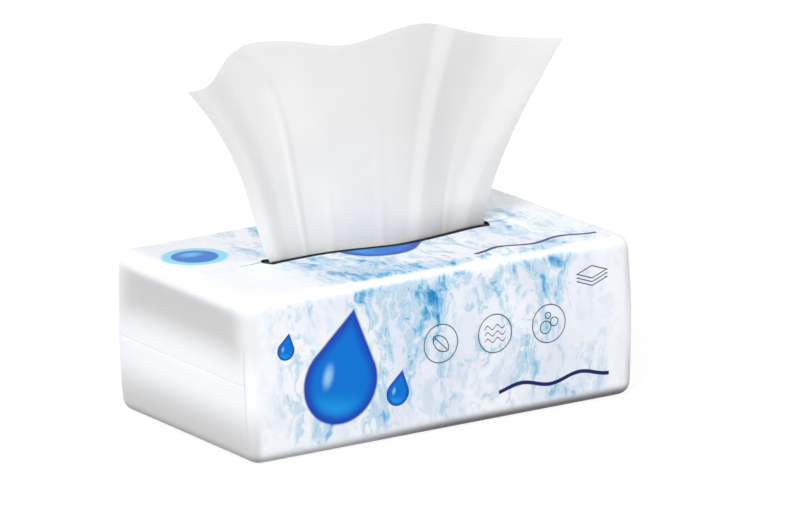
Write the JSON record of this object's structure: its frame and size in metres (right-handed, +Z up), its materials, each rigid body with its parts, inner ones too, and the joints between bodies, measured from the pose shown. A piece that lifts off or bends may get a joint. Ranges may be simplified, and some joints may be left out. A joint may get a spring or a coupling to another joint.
{
  "type": "soft pack of paper towels",
  "caption": "Soft film pack of folded paper hand towels with an S-shaped slot in its top and a towel drawn up through it, ready to pull.",
  "frame": {"origin": "middle of the pack's flat base", "axes": "+X along the pack's long side, +Y from the printed front to the back, +Z up towards the slot and the drawn towel"},
  "size_m": [0.214, 0.125, 0.181],
  "materials": {
    "printed_film": "soft glossy film, white with a pale blue watercolour print",
    "stacked_paper": "folded tissue paper, seen edge on",
    "towel_paper": "soft white tissue paper, finely embossed, matt"
  },
  "bodies": {
    "root": {"film_wrapper": "printed_film", "towel_stack": "stacked_paper", "drawn_towel": "towel_paper"}
  },
  "joints": []
}
